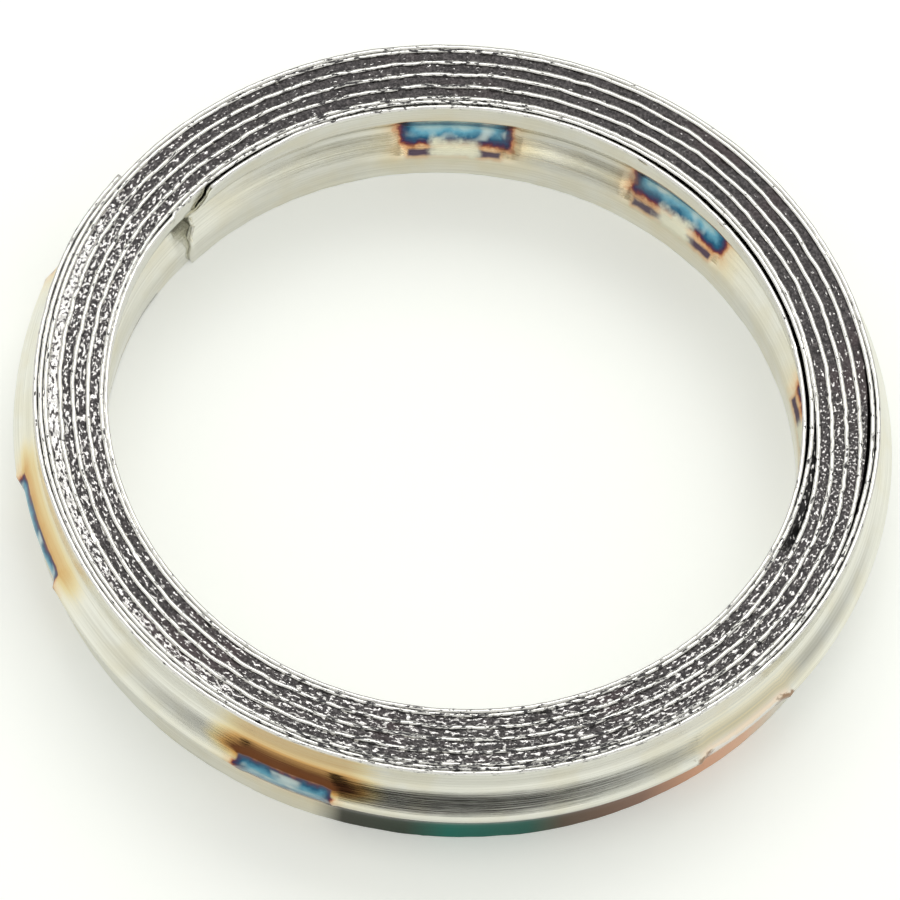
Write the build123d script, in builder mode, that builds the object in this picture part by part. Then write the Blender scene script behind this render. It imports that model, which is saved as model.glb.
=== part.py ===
from build123d import *
from math import cos, radians, sin, sqrt
import os

# Spiral wound exhaust gasket: a stainless strip with a V pressed along it and a graphite
# filler strip, wound up together. Lengths are in millimetres and angles in degrees.
# The origin is on the axis, on the lower sealing face, and +Z points to the upper one.
# Angles run anticlockwise from +X, seen from above, and the spiral runs outwards clockwise.

# Driving dimensions
bore_diameter = 34.0  # across the lands of the innermost turn
height = 6.3  # width of both strips, from one sealing face to the other
land_height = 1.4  # straight stretch along each edge of the steel strip
crest_depth = 0.9  # how far the V stands out from the lands
strip_thickness = 0.2
filler_thickness = 0.46
bare_gap = 0.02  # between two turns of steel with no filler between them
filler_fit = 0.01  # clearance on each side of the filler
strip_turns = 8  # whole turns, so the strip ends over its own start
first_filled_turn = 1  # the filler starts on the outside of this turn, counted from 0
filler_turns = 4  # turns of steel that have filler under them

strip_start = 142.0  # where the steel strip begins
filler_start = -27.0  # where the filler begins
filler_end = 11.5  # where the filler ends, filler_turns later
ramp_angle = 36.0  # stretch in which a turn climbs over the start of a strip

# Worked out from the driving dimensions
bore_radius = bore_diameter / 2
bare_pitch = strip_thickness + bare_gap
filler_gap = filler_thickness + 2 * filler_fit
filler_rise = filler_gap - bare_gap
last_filled_turn = first_filled_turn + filler_turns
seam = strip_start - 360  # where one turn of the steel ends and the next begins


def v_outline(thickness):
    """Section of a strip: x outwards from its inner land, y up from the lower face."""
    inner_side = [
        (0, 0),
        (0, land_height),
        (crest_depth, height / 2),
        (0, height - land_height),
        (0, height),
    ]
    outer_side = [(x + thickness, y) for x, y in reversed(inner_side)]
    return inner_side + outer_side


def circle(radius, start, end):
    """Path round the gasket's own axis, clockwise from the angle start to end."""
    return [((0, 0), radius, start, end)]


def ramp(radius, rise, end):
    """Path of two smooth arcs from one circle out to the next, which it meets at end."""
    start = end + ramp_angle
    bend = 1 - cos(radians(ramp_angle))
    shift = rise * (2 + sqrt(4 - 2 * bend)) / (2 * bend)
    away = (-shift * cos(radians(start)), -shift * sin(radians(start)))
    back = (shift * cos(radians(end)), shift * sin(radians(end)))
    middle = end + ramp_angle / 2
    return [
        (away, radius + shift, start, middle),
        (back, radius + rise - shift, middle, end),
    ]


def turn_radius(turn):
    """Inner land of a turn of steel where it begins."""
    fillers_inside = min(max(turn - first_filled_turn - 1, 0), filler_turns)
    return bore_radius + turn * bare_pitch + fillers_inside * filler_rise


def turn_path(turn):
    """Inner land of one turn of steel, which climbs on the filler's start and the strip's."""
    radius = turn_radius(turn)
    if first_filled_turn < turn <= last_filled_turn:
        path = circle(radius, strip_start, filler_start + ramp_angle)
        path += ramp(radius, filler_rise, filler_start)
        radius += filler_rise
        path += circle(radius, filler_start, seam + ramp_angle)
    else:
        path = circle(radius, strip_start, seam + ramp_angle)
    return path + ramp(radius, bare_pitch, seam)


def wind(outline, path, offset):
    """Carry a section along a path, this far outside it."""
    for (x, y), radius, start, end in path:
        outwards = (cos(radians(start)), sin(radians(start)), 0)
        along = (sin(radians(start)), -cos(radians(start)), 0)
        section_plane = Plane(origin=(x, y, 0), x_dir=outwards, z_dir=along)
        with BuildSketch(section_plane) as section:
            with BuildLine():
                Polyline(*[(radius + offset + u, v) for u, v in outline], close=True)
            make_face()
        revolve(section.sketch, axis=Axis((x, y, 0), (0, 0, -1)), revolution_arc=start - end)


# The steel strip: bare turns inside, turns that alternate with filler, bare turns outside
with BuildPart() as metal_strip:
    for turn in range(strip_turns):
        wind(v_outline(strip_thickness), turn_path(turn), 0)
metal_strip.part.label = "metal_strip"

# The graphite filler: the same V, pressed between the turns of steel
with BuildPart() as filler_strip:
    outline = v_outline(filler_thickness)
    seat = strip_thickness + filler_fit
    first_radius = turn_radius(first_filled_turn)
    wind(outline, circle(first_radius, filler_start, seam + ramp_angle), seat)
    wind(outline, ramp(first_radius, bare_pitch, seam), seat)
    for turn in range(first_filled_turn + 1, last_filled_turn):
        wind(outline, turn_path(turn), seat)
    last_radius = turn_radius(last_filled_turn)
    wind(outline, circle(last_radius, strip_start, filler_end), seat)
filler_strip.part.label = "filler_strip"

os.makedirs("parts", exist_ok=True)
for piece in (metal_strip, filler_strip):
    export_step(piece.part, f"parts/{piece.part.label}.step")
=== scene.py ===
import math

import bpy
import numpy as np
from mathutils import Matrix, Vector


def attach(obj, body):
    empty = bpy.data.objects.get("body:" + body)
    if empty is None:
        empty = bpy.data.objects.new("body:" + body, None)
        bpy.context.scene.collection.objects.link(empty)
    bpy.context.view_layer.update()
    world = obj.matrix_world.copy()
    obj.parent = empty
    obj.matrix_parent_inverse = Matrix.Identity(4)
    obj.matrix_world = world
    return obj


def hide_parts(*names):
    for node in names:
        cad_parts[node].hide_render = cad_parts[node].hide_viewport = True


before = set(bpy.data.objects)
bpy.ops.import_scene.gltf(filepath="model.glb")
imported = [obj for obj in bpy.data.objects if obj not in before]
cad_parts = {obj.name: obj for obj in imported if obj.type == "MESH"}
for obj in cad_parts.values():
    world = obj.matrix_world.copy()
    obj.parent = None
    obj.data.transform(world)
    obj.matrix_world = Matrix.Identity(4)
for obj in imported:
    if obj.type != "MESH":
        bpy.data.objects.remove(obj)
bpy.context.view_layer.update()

# The gasket in millimetres and degrees, as the frame has it. Angles run anticlockwise
# from +X. The spiral runs clockwise, and travel is the angle wound since the strip began.
MM = 0.001
BORE_RADIUS = 17.0
HEIGHT = 6.3
LAND = 1.4  # height of the straight bands above and below the V
CREST = 0.9  # how far the V stands out
STEEL = 0.2  # thickness of the strip
FILLER = 0.46  # thickness of the graphite
FIT = 0.01  # gap between the two
PITCH = 0.22  # step outward at the end of every turn
RISE = 0.46  # further step where the graphite lies beneath
CLIMB = 36.0  # degrees that a step takes
TURNS = 8
STRIP_START = 142.0
FILLER_FIRST = 360.0 + 169.0
FILLER_LAST = 5 * 360.0 + 130.5

rng = np.random.default_rng(7)


# ------------------------------------------------------------------ winding


def two_arcs(u):
    """Smooth step from 0 to 1, made of two arcs."""
    u = np.clip(u, 0.0, 1.0)
    return np.where(u < 0.5, 2 * u * u, 1 - 2 * (1 - u) ** 2)


def steel_radius(travel):
    """Radius of the strip's inner land after this travel."""
    travel = np.asarray(travel, float)
    turn = np.clip(np.floor(travel / 360.0), 0, TURNS)
    phase = travel - 360.0 * turn
    base = BORE_RADIUS + turn * PITCH + RISE * np.clip(turn - 2, 0, 4)
    climbs = np.where((turn > 1.5) & (turn < 5.5), RISE, 0.0)
    base = base + climbs * two_arcs((phase - 133.0) / CLIMB)
    return base + PITCH * two_arcs((phase - 324.0) / CLIMB)


def vee(height):
    """How far the V stands out at this height, with the bends rolled round."""

    def sharp(h):
        return np.clip((np.minimum(h, HEIGHT - h) - LAND) / (HEIGHT / 2 - LAND), 0, 1)

    height = np.asarray(height, float)
    spread = np.linspace(-0.36, 0.36, 25)
    weight = np.cos(spread / 0.36 * math.pi / 2) ** 2
    total = sum(w * sharp(height + s) for s, w in zip(spread, weight))
    top = sum(w * sharp(HEIGHT / 2 + s) for s, w in zip(spread, weight))
    return CREST * total / top


class Ripple:
    """Smooth repeatable noise along a line, with features of one size in mm."""

    def __init__(self, size, length=2400.0):
        self.step = size / 2
        self.values = rng.normal(0, 1, int(length / self.step) + 8)

    def __call__(self, x):
        x = np.asarray(x, float) / self.step
        i = np.floor(x).astype(int)
        f = x - i
        n = len(self.values)
        p0, p1, p2, p3 = (self.values[(i + k) % n] for k in (-1, 0, 1, 2))
        bend = 2 * p0 - 5 * p1 + 4 * p2 - p3 + f * (3 * (p1 - p2) + p3 - p0)
        return 0.6 * (p1 + 0.5 * f * (p2 - p0 + f * bend))


def angle_of(travel):
    return STRIP_START - travel


def window(angle, lo, hi, soft=3.0):
    """1 between two angles and 0 outside, with soft ends; any whole turns are ignored."""
    middle, half = (lo + hi) / 2, (hi - lo) / 2
    off = np.abs((np.asarray(angle, float) - middle + 180.0) % 360.0 - 180.0)
    u = np.clip((half - off) / soft + 0.5, 0, 1)
    return u * u * (3 - 2 * u)


lip_wave = [Ripple(s) for s in (1.0, 1.9, 4.2)]
body_wave = Ripple(11.0)
lip_level = [Ripple(s) for s in (0.6, 2.2)]
end_tear = Ripple(0.5)

# Spot welds: angle of the middle, half the length in degrees, and the wall they are on
INNER_WELDS = [(49.5, 9.2), (88.6, 8.7), (3.0, 9.5)]
COLD_WELD = (118.0, 6.0)
OUTER_WELDS = [(149.5, 6.5), (195.7, 8.0), (246.2, 6.6), (311.0, 7.2)]


def weld_press(travel, height, turn):
    """The welding electrodes flatten the V: radial shift of the plies that they grip."""
    angle = angle_of(travel)
    band = np.clip((1.55 - np.abs(height - HEIGHT / 2)) / 0.3 + 0.5, 0, 1)
    shift = np.zeros_like(angle)
    inner = turn < 2.5
    outer = turn > 4.5
    for middle, half in INNER_WELDS:
        w = window(angle, middle - half, middle + half, 1.6)
        shift += inner * w * band * (-0.16 * np.maximum(vee(height) - 0.4, 0))
        rib = window(angle, middle - half - 1.1, middle - half + 0.6, 1.0)
        rib = rib + window(angle, middle + half - 0.6, middle + half + 1.1, 1.0)
        shift += inner * rib * band * 0.1
    middle, half = COLD_WELD
    w = window(angle, middle - half, middle + half, 1.0)
    low_band = np.clip((0.75 - np.abs(height - 3.9)) / 0.15 + 0.5, 0, 1)
    shift += inner * w * low_band * -0.09
    for middle, half in OUTER_WELDS:
        w = window(angle, middle - half, middle + half, 1.4)
        shift -= outer * w * np.maximum(vee(height) - 0.42, 0) * 0.55
        rib = window(angle, middle - half - 0.7, middle - half + 0.9, 0.8)
        rib = rib + window(angle, middle + half - 0.9, middle + half + 0.7, 0.8)
        shift += outer * rib * band * 0.06
    return shift


def filled_both_sides(travel):
    """1 where a turn has filler inside and outside it, 0 where it lies on bare steel."""
    inside = np.clip((travel - FILLER_FIRST - 360.0) / 12.0, 0, 1)
    outside = np.clip((FILLER_LAST - travel) / 12.0, 0, 1)
    return inside * outside


def steel_shift(travel, height):
    """Waves of the strip's edges, plies that stand apart, and the welds."""
    travel = np.asarray(travel, float)
    turn = np.floor(np.clip(travel, 0, TURNS * 360.0 - 1e-6) / 360.0)
    angle = angle_of(travel)
    along = np.radians(travel) * steel_radius(travel)
    near_edge = np.minimum(height, HEIGHT - height)
    edge = np.clip(1 - near_edge / 1.1, 0, 1) ** 1.5
    side = np.where(height > HEIGHT / 2, 0.0, 531.0)
    own = sum(a * w(along + side) for a, w in zip((0.022, 0.034, 0.034), lip_wave))
    shift = 0.02 * body_wave(np.radians(angle % 360.0) * 18.0)
    shift = shift + edge * own * (0.2 + 0.8 * filled_both_sides(travel))
    top = np.clip(1 - (HEIGHT - height) / 1.5, 0, 1) ** 1.3
    # the innermost ply stands off, and the outer plies part at their top edges
    gap = 0.17 * window(angle, -12, 62, 26) + 0.07 * window(angle, 62, 112, 20)
    gap = gap + 0.13 * window(angle, 119, 146, 12)
    shift = shift - np.where(turn == 0, 1.0, 0.0) * top * gap
    part = 0.1 * window(angle, -45, 9, 14) + 0.08 * window(angle, 148, 196, 12)
    part = part + 0.035 * window(angle, 205, 300, 20)
    shift = shift + np.where(turn == 7, 1.0, 0.0) * top * part
    shift = shift + np.where(turn == 6, 0.45, 0.0) * top * part
    return shift + weld_press(travel, height, turn)


def edge_drop(travel, top):
    """How far the strip's rough-sheared edge lies inside the full width."""
    along = np.radians(travel) * steel_radius(travel)
    side = 0.0 if top else 311.0
    drop = 0.028 + 0.02 * lip_level[0](along + side) + 0.016 * lip_level[1](along + side)
    drop = np.clip(drop, 0.0, 0.09)
    if not top:
        first = travel < 360.0
        drop = drop + np.where(first, 0.16, 0.0) * window(angle_of(travel), 146, 174, 6)
    return drop


# ------------------------------------------------------------------- meshes

# The strip's map: units in degrees along and in mm across, where the outer wall begins
# across it, and where it comes back round to the foot of the inner wall
UV_DEGREES, UV_MM = 100.0, 10.0
OUTER_V, ROUND_V = 0.65, 1.30


def new_object(name, verts, faces, uvs, attributes):
    mesh = bpy.data.meshes.new(name)
    mesh.from_pydata([tuple(v) for v in verts], [], faces)
    for key, values in attributes.items():
        layer = mesh.attributes.new(key, "FLOAT", "POINT")
        layer.data.foreach_set("value", np.asarray(values, np.float32).reshape(-1))
    layer = mesh.uv_layers.new(name="wound")
    layer.data.foreach_set("uv", np.asarray(uvs, np.float32).reshape(-1))
    mesh.polygons.foreach_set("use_smooth", [True] * len(mesh.polygons))
    mesh.update()
    obj = bpy.data.objects.new(name, mesh)
    bpy.context.scene.collection.objects.link(obj)
    return obj


def by_angle(angle, table):
    """Smooth value round the ring from pairs of angle and value."""
    keys = np.array([k for k, _ in table], float)
    vals = np.array([v for _, v in table], float)
    keys = np.concatenate([keys - 360, keys, keys + 360])
    vals = np.concatenate([vals] * 3)
    return np.interp(np.asarray(angle, float) % 360.0, keys, vals)


# How much graphite is smeared over the sheared edges, by angle
DULL = [(0, 0.1), (18, 0.0), (70, 0.0), (82, 0.24), (108, 0.26), (120, 0.16), (148, 0.16),
        (160, 0.1), (196, 0.08), (215, 0.02), (236, 0.1), (248, 0.26), (296, 0.28),
        (308, 0.16), (338, 0.2), (350, 0.14)]
# Heat shows above the outer welds: angles, width of the soft ends, strength
TOAST = [(236, 258, 9, 1.05), (184, 208, 8, 0.62), (140, 158, 8, 0.4), (300, 322, 9, 0.3)]
# How thickly bright flecks lie on the graphite, by angle
FLECKS = [(0, 0.4), (18, 0.16), (30, 0.04), (72, 0.04), (85, 0.12), (112, 0.16), (130, 0.34),
          (152, 0.6), (196, 0.56), (210, 0.36), (236, 0.4), (250, 0.5), (300, 0.5),
          (318, 0.45), (345, 0.42)]

# Heights of the mesh's points on a wall, and the ones that the hidden turns keep
FINE = [0, 0.06, 0.35, 0.8, 1.15, 1.4, 1.65, 1.95, 2.3, 2.6, 2.85, 3.0]
FINE = np.array(FINE + [HEIGHT / 2] + [HEIGHT - h for h in FINE[::-1]])
COARSE_PICK = np.array([0, 1, 3, 5, 12, 19, 21, 23, 24])
STEPS, FILLER_STEPS = 440, 860  # rings of points to a turn
OUTSIDE_FROM = 2500  # travel from which the strip's outer side shows
START_LATE, EASED = 5.0, 50.0  # degrees the torn end is moved on, and eased over


def bump_at(height, middle, half):
    """1 at the middle height, falling to 0 at half above and below it."""
    return np.clip(1 - np.abs(height - middle) / half, 0, 1) ** 0.7


def toasted(travel, height, side):
    """Brown heat tint above the outer welds."""
    angle = angle_of(travel)
    high = 0.45 * np.clip((height - 4.3) / 0.5, 0, 1) + bump_at(height, 4.1, 0.7)
    toast = sum(k * window(angle, lo, hi, soft) for lo, hi, soft, k in TOAST)
    return toast * high * side * (travel > OUTSIDE_FROM)


def painted_reflection_bands(travel, height, side):
    """Painted reflection: dark bands painted into the bent walls' colour, inside and outside."""
    angle = angle_of(travel)
    inner = bump_at(height, 2.72, 0.42) + 0.9 * bump_at(height, 1.82, 0.36)
    inner = inner * (window(angle, 54, 81, 14) + 0.55 * window(angle, 100, 126, 16))
    outer = bump_at(height, 4.12, 0.55) * window(angle, 222, 338, 30)
    return inner * (1 - side) + outer * side * (travel > OUTSIDE_FROM)


def torn_start(travel, height):
    """The strip's inner end was torn off: extra travel there, at each height."""
    heights = [0, 0.9, 1.5, 2.1, 2.9, 3.4, 4.2, 4.9, 5.2, 6.3]
    extra = [-0.2, -1.0, -0.7, 0.5, 1.2, -0.3, -0.6, 0.2, 1.3, 3.0]
    jag = np.interp(height, heights, extra) + 0.35 * end_tear(height * 1.3 + 5)
    late = START_LATE * np.clip(1 - travel / EASED, 0, 1)
    return late + jag * np.clip(1 - travel / 7.0, 0, 1)


def build_steel():
    """The strip as rings of points, fine where its walls show and coarse between."""
    step = 360.0 / STEPS
    verts, faces, uvs = [], [], []
    attrs = {"dull": [], "lip": [], "toast": [], "painted_reflection": []}
    previous = None
    count = 0
    for i in range(TURNS * STEPS + 1):
        travel = i * step
        fine = travel <= 362 or travel >= 7 * 360 - 4
        pick = np.arange(len(FINE)) if fine else COARSE_PICK
        h = FINE[pick]
        hh = np.concatenate([h, h[::-1]])
        side = np.concatenate([np.zeros(len(h)), np.ones(len(h))])
        t = travel + torn_start(np.full(len(hh), travel), hh)
        r = steel_radius(t) + vee(hh) + side * STEEL + steel_shift(t, hh)
        z = np.where(hh > HEIGHT - 1e-6, HEIGHT - edge_drop(t, True), hh)
        z = np.where(hh < 1e-6, edge_drop(t, False), z)
        a = np.radians(angle_of(t))
        verts.append(np.stack([r * np.cos(a), r * np.sin(a), z], -1) * MM)
        bare = (travel < 360) | (travel > 7 * 360 - 60)
        attrs["dull"].append(by_angle(angle_of(t), DULL) * (0.45 if bare else 1.0))
        attrs["toast"].append(toasted(t, hh, side))
        attrs["painted_reflection"].append(painted_reflection_bands(t, hh, side))
        attrs["lip"].append(np.clip(1 - (HEIGHT - hh) / 0.12, 0, 1))
        u = t / UV_DEGREES
        v = np.where(side < 0.5, hh / UV_MM, OUTER_V + (HEIGHT - hh) / UV_MM)
        ring = {"first": count, "n": len(hh), "pick": pick, "u": u, "v": v}
        count += len(hh)
        if previous is not None:
            join(previous, ring, faces, uvs)
        previous = ring
        if i == 0:
            cap(ring, faces, uvs, False)
    cap(previous, faces, uvs, True)
    attrs = {k: np.concatenate(v) for k, v in attrs.items()}
    return new_object("metal_strip_wound", np.concatenate(verts), faces, uvs, attrs)


def join(a, b, faces, uvs):
    """Faces between two rings, one of which may have more points than the other."""
    if a["n"] == b["n"]:
        spans_a = spans_b = [(j, j + 1) for j in range(a["n"])]
    else:
        more, less = (a, b) if a["n"] > b["n"] else (b, a)
        half = more["n"] // 2
        at = list(less["pick"]) + [2 * half - 1 - p for p in less["pick"][::-1]]
        wide = [(at[j], at[j + 1]) for j in range(len(at) - 1)] + [(at[-1], more["n"])]
        thin = [(j, j + 1) for j in range(less["n"])]
        spans_a, spans_b = (wide, thin) if more is a else (thin, wide)
    for (a0, a1), (b0, b1) in zip(spans_a, spans_b):
        loop = [(a, j) for j in range(a1, a0 - 1, -1)] + [(b, j) for j in range(b0, b1 + 1)]
        faces.append([r["first"] + j % r["n"] for r, j in loop])
        for r, j in loop:
            uvs.append((r["u"][j % r["n"]], r["v"][j] if j < r["n"] else ROUND_V))


def cap(ring, faces, uvs, last):
    """Closes one end of the strip."""
    n = ring["n"]
    for j in range(n // 2 - 1):
        quad = [j, j + 1, n - 2 - j, n - 1 - j]
        quad = quad[::-1] if last else quad
        faces.append([ring["first"] + q for q in quad])
        uvs += [(ring["u"][q], ring["v"][q]) for q in quad]


# Crumbling of the graphite, a separate line of it for each lane across
crumb = [Ripple(s) for s in (0.28, 0.45, 1.1)]
crumb_across = rng.uniform(0, 900, (8, 3))


def build_filler():
    """The graphite, crumbly on top, with thinned ends in the wedges beside the climbs."""
    first, last = FILLER_FIRST - 33.0, FILLER_LAST + 26.0
    step = 360.0 / FILLER_STEPS
    travel = np.arange(first, last, step)
    across = [0.0, 0.16, 0.33, 0.5, 0.67, 0.84, 1.0]
    low = [0.35, LAND, HEIGHT / 2, HEIGHT - LAND, HEIGHT - 0.3]
    ring = [(0.0, h, 0, 0) for h in low]
    ring += [(w, HEIGHT, 1, k + 1) for k, w in enumerate(across)]
    ring += [(1.0, h, 0, 0) for h in low[::-1]]
    ring += [(w, 0.0, -1, k + 1) for k, w in enumerate(across[::-1])]
    w, h, face, lane = (np.array(c, float) for c in zip(*ring))
    t = np.repeat(travel[:, None], len(ring), 1)
    hh = np.repeat(h[None], len(travel), 0)
    inside = steel_radius(t) + STEEL + FIT + steel_shift(t, hh)
    outside = steel_radius(t + 360.0) - FIT + steel_shift(t + 360.0, hh)
    outside = np.minimum(outside, inside + FILLER + 0.12)
    early = np.clip((FILLER_FIRST - t) / 4.0, 0, 1)
    late = np.clip((t - FILLER_LAST) / 26.0, 0, 1)
    room = np.maximum(outside - inside, 0.03)
    r = inside + w * room * (1 - 0.25 * early) * (1 - 0.8 * late)
    r = r + np.where(face != 0, (w - 0.5) * 0.03, 0.0) + vee(hh)
    along = np.radians(t) * steel_radius(t)
    rough = np.zeros_like(t)
    for k, (scale, ripple) in enumerate(zip((0.035, 0.045, 0.03), crumb)):
        offset = crumb_across[lane.astype(int), k] * np.where(k == 2, 0.0, 1.0)
        rough = rough + scale * ripple(along + offset + np.where(face < 0, 77.0, 0.0))
    hollow = 0.075 + rough + 0.03 * (np.abs(w - 0.5) * 2) ** 2
    hollow = np.clip(hollow, 0.012, 0.24) + 0.35 * early + 0.05 * (late > 0)
    hollow = hollow + 0.5 * window(angle_of(t), -27.5, -21, 1.5) * early
    z = np.where(face > 0, HEIGHT - hollow, hh)
    z = np.where(face < 0, np.minimum(hollow, 0.25), z)
    a = np.radians(angle_of(t))
    points = np.stack([r * np.cos(a), r * np.sin(a), z], -1)
    n, m = t.shape
    faces, uvs = [], []
    u, v = along / UV_MM, (r - BORE_RADIUS) / UV_MM + hh
    for i in range(n - 1):
        for j in range(m):
            k = (j + 1) % m
            quad = ((i + 1, j), (i + 1, k), (i, k), (i, j))
            faces.append([p * m + q for p, q in quad])
            uvs += [(u[p, q], v[p, q]) for p, q in quad]
    for i, order in ((0, 1), (n - 1, -1)):
        loop = list(range(m))[::order]
        faces.append([i * m + q for q in loop])
        uvs += [(u[i, q], v[i, q]) for q in loop]
    turn = np.floor(t / 360.0)
    outer_band = (turn >= 4) * window(angle_of(t), 150, 240, 14) * 0.3
    flecks = by_angle(angle_of(t), FLECKS) + outer_band
    # How deep the top lies, kept for the painted shade in the hollows
    attrs = {"flecks": np.clip(flecks, 0, 1), "painted_hollow_shade": np.clip(hollow * 4, 0, 1)}
    return new_object("filler_strip_wound", points.reshape(-1, 3) * MM, faces, uvs, attrs)


steel = build_steel()
filler = build_filler()
for piece, node, slot in ((steel, "metal_strip", "steel"), (filler, "filler_strip", "graphite")):
    bpy.context.view_layer.update()
    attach(piece, "root")
    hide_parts(node)


# ---------------------------------------------------------------- materials


class Nodes:
    """Short calls for building a node tree; values may be sockets or numbers."""

    def __init__(self, tree):
        self.tree = tree

    def add(self, kind, inputs=None, **settings):
        node = self.tree.nodes.new(kind)
        for key, value in settings.items():
            setattr(node, key, value)
        for key, value in (inputs or {}).items():
            self.put(node.inputs[key], value)
        return node

    def put(self, socket, value):
        if isinstance(value, bpy.types.NodeSocket):
            self.tree.links.new(value, socket)
        else:
            socket.default_value = value

    def math(self, operation, a, b=0.0, c=0.0, clamp=False):
        node = self.add("ShaderNodeMath", {0: a, 1: b, 2: c}, operation=operation)
        node.use_clamp = clamp
        return node.outputs[0]

    def span(self, value, lo, hi, to_lo=0.0, to_hi=1.0, smooth=True):
        """value from lo..hi mapped to to_lo..to_hi, held beyond them."""
        node = self.add("ShaderNodeMapRange", {0: value, 1: lo, 2: hi, 3: to_lo, 4: to_hi})
        node.interpolation_type = "SMOOTHSTEP" if smooth else "LINEAR"
        return node.outputs[0]

    def mix(self, factor, a, b, blend="MIX"):
        node = self.add("ShaderNodeMix", data_type="RGBA", blend_type=blend)
        self.put(node.inputs[0], factor)
        self.put(node.inputs[6], a)
        self.put(node.inputs[7], b)
        return node.outputs[2]

    def ramp(self, value, stops):
        node = self.add("ShaderNodeValToRGB", {0: value})
        ramp = node.color_ramp
        while len(ramp.elements) < len(stops):
            ramp.elements.new(0.5)
        for element, (place, color) in zip(ramp.elements, stops):
            element.position = place
            element.color = (*color, 1) if len(color) == 3 else color
        return node

    def noise(self, vector, scale, detail=2.0, rough=0.5):
        inputs = {"Vector": vector, "Scale": scale, "Detail": detail, "Roughness": rough}
        return self.add("ShaderNodeTexNoise", inputs).outputs[0]

    def scaled(self, vector, by):
        node = self.add("ShaderNodeVectorMath", {0: vector, 1: by}, operation="MULTIPLY")
        return node.outputs[0]

    def attribute(self, name):
        return self.add("ShaderNodeAttribute", attribute_name=name).outputs["Fac"]


def group_tree(name, inputs, outputs):
    tree = bpy.data.node_groups.new(name, "ShaderNodeTree")
    for key, kind in inputs:
        tree.interface.new_socket(key, in_out="INPUT", socket_type=kind)
    for key, kind in outputs:
        tree.interface.new_socket(key, in_out="OUTPUT", socket_type=kind)
    n = Nodes(tree)
    return n, n.add("NodeGroupInput").outputs, n.add("NodeGroupOutput").inputs


# The walls that show: turn of the strip, and mm in one unit of the map along it
INNER_WALL, OUTER_WALL = (0, 29.7), (TURNS - 1, 37.0)


def weld_distance_group():
    """Distance in mm from a weld's rounded rectangle, negative inside it."""
    names = ("Along", "Across", "Middle", "Level", "Half Length", "Half Width", "Scale")
    sockets = [(s, "NodeSocketFloat") for s in names]
    n, i, o = group_tree("weld_distance", sockets, [("Distance", "NodeSocketFloat")])

    def past(value, middle, scale, half):
        off = n.math("ABSOLUTE", n.math("SUBTRACT", value, middle))
        return n.math("SUBTRACT", n.math("MULTIPLY", off, scale), half)

    dx = past(i["Along"], i["Middle"], i["Scale"], i["Half Length"])
    dy = past(i["Across"], i["Level"], UV_MM, i["Half Width"])
    px, py = n.math("MAXIMUM", dx, 0.0), n.math("MAXIMUM", dy, 0.0)
    far = n.math("SQRT", n.math("ADD", n.math("MULTIPLY", px, px), n.math("MULTIPLY", py, py)))
    near = n.math("MINIMUM", n.math("MAXIMUM", dx, dy), 0.0)
    n.put(o["Distance"], n.math("ADD", far, near))
    return n.tree


WELD_DISTANCE = weld_distance_group()


def new_material(name):
    mat = bpy.data.materials.new(name)
    mat.use_nodes = True
    mat.node_tree.nodes.clear()
    n = Nodes(mat.node_tree)
    shader = n.add("ShaderNodeBsdfPrincipled")
    out = n.add("ShaderNodeOutputMaterial")
    n.put(out.inputs[0], shader.outputs[0])
    return mat, n, shader


# Colours of the oxide, by mm from the weld's edge: inside it, rim, then the halo
OXIDE = [
    (0.0, (0.36, 0.56, 0.60, 0.9)), (0.09, (0.10, 0.34, 0.48, 0.95)),
    (0.17, (0.02, 0.10, 0.19, 1.0)), (0.225, (0.07, 0.035, 0.08, 1.0)),
    (0.25, (0.22, 0.06, 0.05, 1.0)), (0.28, (0.62, 0.25, 0.07, 0.8)),
    (0.325, (0.80, 0.54, 0.24, 0.55)), (0.46, (0.82, 0.70, 0.44, 0.4)),
    (0.66, (0.84, 0.78, 0.60, 0.2)), (0.9, (0.86, 0.83, 0.72, 0.0)),
]


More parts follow.
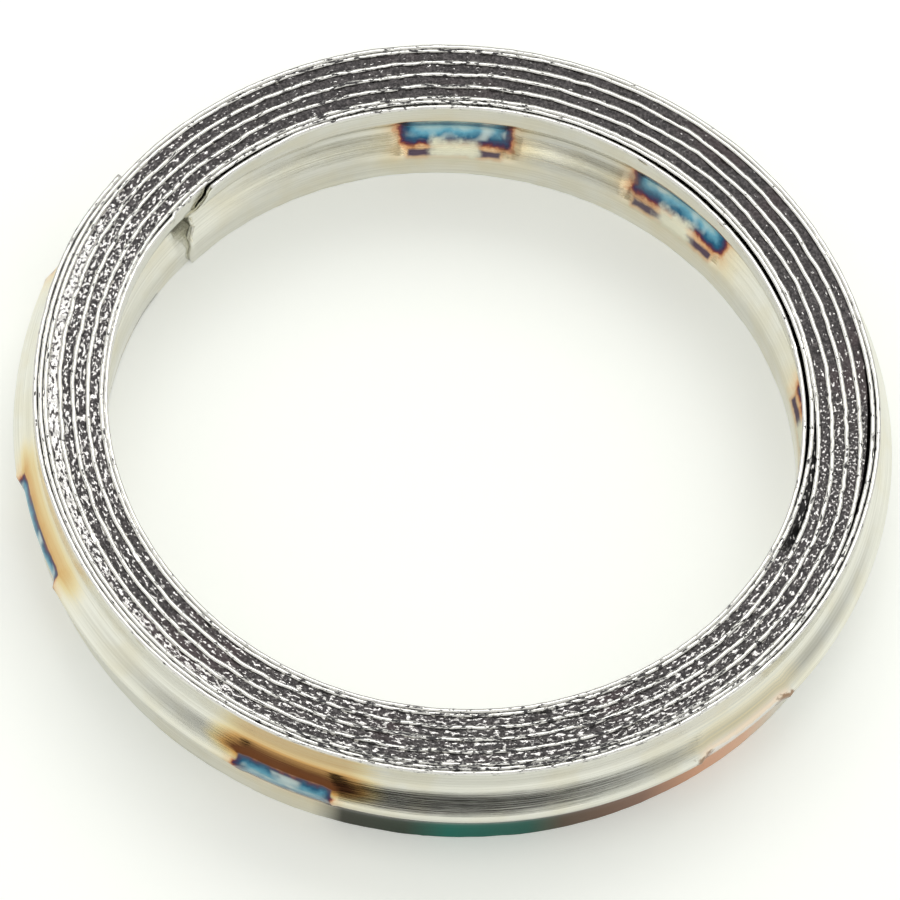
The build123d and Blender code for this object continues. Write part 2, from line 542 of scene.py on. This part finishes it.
def steel_material():
    mat, n, shader = new_material("bright_steel_strip")
    uv = n.add("ShaderNodeUVMap", uv_map="wound").outputs[0]
    split = n.add("ShaderNodeSeparateXYZ", {0: uv})
    u, v = split.outputs[0], split.outputs[1]
    place = n.add("ShaderNodeTexCoord").outputs["Object"]
    streak = n.noise(n.scaled(uv, (4.0, 110.0, 1.0)), 1.0, 3.0, 0.6)
    fine_streak = n.noise(n.scaled(uv, (26.0, 420.0, 1.0)), 1.0, 1.0, 0.6)
    blotch = n.noise(place, 420.0, 2.0, 0.55)
    base = n.ramp(streak, [
        (0.3, (0.66, 0.65, 0.58)), (0.5, (0.76, 0.75, 0.68)), (0.7, (0.84, 0.83, 0.77)),
    ]).outputs[0]
    base = n.mix(n.span(blotch, 0.42, 0.68, 0.0, 0.35), base, (0.70, 0.64, 0.46, 1))
    wobble = n.math("MULTIPLY", n.math("SUBTRACT", n.noise(place, 1100.0, 3.0, 0.6), 0.5), 0.9)

    def distance(middle, half, wall, half_width, level):
        turn, scale = wall
        travel = turn * 360.0 + (STRIP_START - middle) % 360.0
        group = n.add("ShaderNodeGroup", node_tree=WELD_DISTANCE)
        values = {"Along": u, "Across": v, "Middle": travel / UV_DEGREES, "Level": level,
                  "Half Length": half / UV_DEGREES * scale, "Half Width": half_width,
                  "Scale": scale}
        for key, value in values.items():
            n.put(group.inputs[key], value)
        return group.outputs[0]

    def nearest_of(values):
        low = values[0]
        for value in values[1:]:
            low = n.math("MINIMUM", low, value)
        return low

    pressed = [distance(m, h, INNER_WALL, 0.86, 0.305) for m, h in INNER_WELDS]
    pressed += [distance(m, h, OUTER_WALL, 0.9, 0.985) for m, h in OUTER_WELDS[:3]]
    nearest = nearest_of(pressed)
    heat = n.span(n.math("ADD", nearest, wobble), -1.0, 3.2, smooth=False)
    oxide = n.ramp(heat, OXIDE)
    inside = n.span(nearest, -0.12, -0.3)
    patch = n.noise(place, 900.0, 1.0, 0.5)
    color = n.mix(oxide.outputs[1], base, oxide.outputs[0])
    silvery = n.math("MULTIPLY", inside, n.span(patch, 0.5, 0.72, 0.0, 0.75))
    color = n.mix(silvery, color, (0.62, 0.70, 0.68, 1))

    # Under each inner weld a dark strip, broken by a pale patch where the spark was
    strips = [distance(m, h - 1.2, INNER_WALL, 0.13, 0.172) for m, h in INNER_WELDS]
    strips = n.math("ADD", nearest_of(strips), n.math("MULTIPLY", wobble, 0.35))
    color = n.mix(n.span(strips, 0.34, 0.05, 0.0, 0.5), color, (0.62, 0.30, 0.12, 1))
    color = n.mix(n.span(strips, 0.12, -0.05), color, (0.10, 0.07, 0.10, 1))
    sparks = [distance(m, 3.4, INNER_WALL, 0.42, 0.178) for m, _ in INNER_WELDS]
    sparks = n.math("ADD", nearest_of(sparks), n.math("MULTIPLY", wobble, 1.6))
    color = n.mix(n.span(sparks, 0.4, -0.3, 0.0, 0.95), color, (0.74, 0.72, 0.58, 1))

    # The last outer weld came out pale, burnt brown only at its two ends
    middle, half = OUTER_WELDS[3]
    pale = distance(middle, half, OUTER_WALL, 1.0, 1.02)
    pale = n.math("ADD", pale, wobble)
    color = n.mix(n.span(pale, 0.5, -0.2, 0.0, 0.75), color, (0.90, 0.72, 0.56, 1))
    color = n.mix(n.span(pale, -0.25, -0.6), color, (0.92, 0.90, 0.86, 1))
    ends = [distance(middle + k * half, 1.2, OUTER_WALL, 0.8, 1.03) for k in (-1, 1)]
    ends = n.math("ADD", nearest_of(ends), n.math("MULTIPLY", wobble, 2.0))
    color = n.mix(n.span(ends, 0.15, -0.1, 0.0, 0.85), color, (0.26, 0.14, 0.07, 1))

    # Painted reflection: the dark bands are painted into the steel's colour here
    color = n.mix(n.math("MULTIPLY", n.attribute("painted_reflection"), 0.66), color, (0.14, 0.14, 0.14, 1))
    uneven = n.math("MULTIPLY", n.math("SUBTRACT", streak, 0.5), 0.3)
    toast = n.math("ADD", n.attribute("toast"), uneven)
    browned = n.ramp(toast, [
        (0.1, (0.80, 0.72, 0.50, 0.0)), (0.35, (0.74, 0.60, 0.30, 0.75)),
        (0.6, (0.60, 0.33, 0.10, 0.92)), (0.82, (0.13, 0.045, 0.015, 0.97))])
    toast_in = n.math("MULTIPLY", browned.outputs[1], n.span(nearest, -0.05, 0.1))
    color = n.mix(toast_in, color, browned.outputs[0])

    # The foot of the outer wall in front is coloured pink, brown, green and grey in turn: partly a
    # heat stain, partly a painted dark reflection of the shadowed floor
    foot = n.span(v, 1.12, 1.145)
    stain_and_painted_reflection = n.ramp(n.span(u, 27.00, 27.72, smooth=False), [
        (0.0, (0.80, 0.60, 0.46, 0.0)), (0.12, (0.80, 0.44, 0.26, 0.8)),
        (0.24, (0.72, 0.36, 0.20, 0.9)), (0.36, (0.30, 0.17, 0.12, 1.0)),
        (0.52, (0.13, 0.09, 0.06, 1.0)), (0.59, (0.02, 0.13, 0.10, 1.0)),
        (0.74, (0.01, 0.17, 0.13, 1.0)), (0.82, (0.05, 0.07, 0.05, 1.0)),
        (0.94, (0.07, 0.07, 0.055, 1.0)), (1.0, (0.3, 0.3, 0.25, 0.0))])
    color = n.mix(n.math("MULTIPLY", foot, stain_and_painted_reflection.outputs[1]), color, stain_and_painted_reflection.outputs[0])

    # Graphite smeared over the sheared edges
    lip = n.span(n.attribute("lip"), 0.15, 0.6)
    smear = n.noise(n.scaled(uv, (64.0, 60.0, 1.0)), 1.0, 3.0, 0.7)
    dull = n.math("ADD", smear, n.math("MULTIPLY", n.attribute("dull"), 0.5))
    dull = n.math("SUBTRACT", dull, 0.62)
    covered = n.math("MULTIPLY", lip, n.span(dull, 0.0, 0.06))
    bright_lip = n.mix(lip, color, (0.90, 0.89, 0.85, 1))
    color = n.mix(covered, bright_lip, (0.045, 0.042, 0.045, 1))
    n.put(shader.inputs["Base Color"], color)
    n.put(shader.inputs["Metallic"], n.math("SUBTRACT", 1.0, n.math("MULTIPLY", covered, 0.7)))
    rough = n.span(fine_streak, 0.3, 0.7, 0.09, 0.2)
    rough = n.math("ADD", rough, n.math("MULTIPLY", covered, 0.35))
    n.put(shader.inputs["Roughness"], rough)
    relief = n.math("ADD", n.math("MULTIPLY", streak, 0.5), n.math("MULTIPLY", patch, 0.8))
    bump = n.add("ShaderNodeBump", {"Strength": 0.08, "Distance": 0.0001, "Height": relief})
    n.put(shader.inputs["Normal"], bump.outputs[0])
    return mat


def graphite_material():
    mat, n, shader = new_material("crumbly_graphite")
    uv = n.add("ShaderNodeUVMap", uv_map="wound").outputs[0]
    place = n.add("ShaderNodeTexCoord").outputs["Object"]
    grain = n.noise(place, 7000.0, 3.0, 0.7)
    lumps = n.noise(place, 2600.0, 2.0, 0.6)
    base = n.ramp(grain, [
        (0.32, (0.010, 0.009, 0.010)), (0.5, (0.055, 0.048, 0.050)), (0.66, (0.16, 0.145, 0.145)),
    ]).outputs[0]
    brown = n.span(n.noise(place, 240.0, 2.0, 0.5), 0.55, 0.7, 0.0, 0.5)
    base = n.mix(brown, base, (0.085, 0.055, 0.060, 1))
    # Painted shade: the graphite is darkened where its top lies deep
    base = n.mix(n.span(n.attribute("painted_hollow_shade"), 0.45, 1.0, 0.0, 0.75), base, (0.006, 0.006, 0.006, 1))
    flake = n.noise(n.scaled(uv, (30.0, 66.0, 1.0)), 1.0, 3.0, 0.62)
    amount = n.math("MULTIPLY", n.attribute("flecks"), 0.26)
    level = n.math("ADD", n.math("ADD", flake, amount), n.math("MULTIPLY", lumps, 0.12))
    fleck = n.span(level, 0.735, 0.765)
    color = n.mix(fleck, base, (0.86, 0.84, 0.82, 1))
    n.put(shader.inputs["Base Color"], color)
    n.put(shader.inputs["Metallic"], n.math("MULTIPLY", fleck, 0.9))
    n.put(shader.inputs["Roughness"], n.math("SUBTRACT", 0.62, n.math("MULTIPLY", fleck, 0.36)))
    relief = n.math("ADD", grain, n.math("MULTIPLY", level, 0.9))
    bump = n.add("ShaderNodeBump", {"Strength": 0.7, "Distance": 0.00006, "Height": relief})
    n.put(shader.inputs["Normal"], bump.outputs[0])
    return mat


steel.data.materials.append(steel_material())
filler.data.materials.append(graphite_material())


# ------------------------------------------------------- floor, light, camera


def plate(name, corners):
    mesh = bpy.data.meshes.new(name)
    mesh.from_pydata(corners, [], [(0, 1, 2, 3)])
    obj = bpy.data.objects.new(name, mesh)
    bpy.context.scene.collection.objects.link(obj)
    return obj


floor = plate("floor", [(-3, -3, 0), (3, -3, 0), (3, 3, 0), (-3, 3, 0)])
mat, n, shader = new_material("white_floor")
shader.inputs["Base Color"].default_value = (0.86, 0.875, 0.84, 1)
shader.inputs["Roughness"].default_value = 0.7
path = n.add("ShaderNodeLightPath")
seen = n.math("MAXIMUM", path.outputs["Is Camera Ray"], path.outputs["Is Glossy Ray"])
seen = n.math("MAXIMUM", seen, path.outputs["Is Transmission Ray"])
shader.inputs["Emission Color"].default_value = (0.98, 1.0, 0.96, 1)
n.put(shader.inputs["Emission Strength"], n.math("MULTIPLY", seen, 0.27))
floor.data.materials.append(mat)

# A low black flag in front gives the bent wall its dark reflection
FLAG_HALF, FLAG_Y, FLAG_TOP = 0.12, -0.062, 0.014
flag = plate("flag", [
    (-FLAG_HALF, FLAG_Y, 0), (FLAG_HALF, FLAG_Y, 0),
    (FLAG_HALF, FLAG_Y, FLAG_TOP), (-FLAG_HALF, FLAG_Y, FLAG_TOP),
])
flag.visible_camera = False
flag.visible_shadow = False
mat, n, shader = new_material("black_flag")
shader.inputs["Base Color"].default_value = (0.02, 0.02, 0.02, 1)
shader.inputs["Roughness"].default_value = 0.9
flag.data.materials.append(mat)

world = bpy.data.worlds.new("studio")
bpy.context.scene.world = world
world.use_nodes = True
world.node_tree.nodes.clear()
n = Nodes(world.node_tree)
back = n.add("ShaderNodeBackground", {"Color": (1.0, 1.0, 0.97, 1), "Strength": 0.74})
n.put(n.add("ShaderNodeOutputWorld").inputs[0], back.outputs[0])

lamp = bpy.data.lights.new("soft_box", "AREA")
lamp.shape = "RECTANGLE"
lamp.size, lamp.size_y = 0.5, 0.35
lamp.energy = 1.1
lamp_object = bpy.data.objects.new("soft_box", lamp)
bpy.context.scene.collection.objects.link(lamp_object)
lamp_place = Vector((0.08, 0.40, 0.46))
lamp_object.location = lamp_place
lamp_object.rotation_euler = lamp_place.to_track_quat("Z", "Y").to_euler()

# The camera looks at the ring's middle, in a square view that is VIEW units wide
ELEVATION = math.radians(59.4)
AZIMUTH = math.radians(-6.8)
ROLL = math.radians(6.8)
DISTANCE = 0.9
VIEW = 900
SCALE = 20.5  # units of the view to a millimetre
CENTRE_IN_VIEW = (453.1, 437.5)
centre = Vector((0, 0, HEIGHT / 2 * MM))
forward = Vector((0, math.cos(ELEVATION), -math.sin(ELEVATION)))
forward.rotate(Matrix.Rotation(AZIMUTH, 3, "Z"))
right = Matrix.Rotation(AZIMUTH, 3, "Z") @ Vector((1, 0, 0))
up = right.cross(forward)
camera_right = math.cos(ROLL) * right + math.sin(ROLL) * up
camera_up = -math.sin(ROLL) * right + math.cos(ROLL) * up
camera = bpy.data.cameras.new("camera")
camera.sensor_width = 36.0
camera.lens = camera.sensor_width * SCALE / MM * DISTANCE / VIEW
camera.shift_x = -(CENTRE_IN_VIEW[0] - VIEW / 2) / VIEW
camera.shift_y = (CENTRE_IN_VIEW[1] - VIEW / 2) / VIEW
camera.clip_start = 0.01
camera_object = bpy.data.objects.new("camera", camera)
bpy.context.scene.collection.objects.link(camera_object)
turned = Matrix((camera_right, camera_up, -forward)).transposed().to_4x4()
camera_object.matrix_world = Matrix.Translation(centre - DISTANCE * forward) @ turned
bpy.context.scene.camera = camera_object
bpy.context.scene.view_settings.view_transform = "Standard"
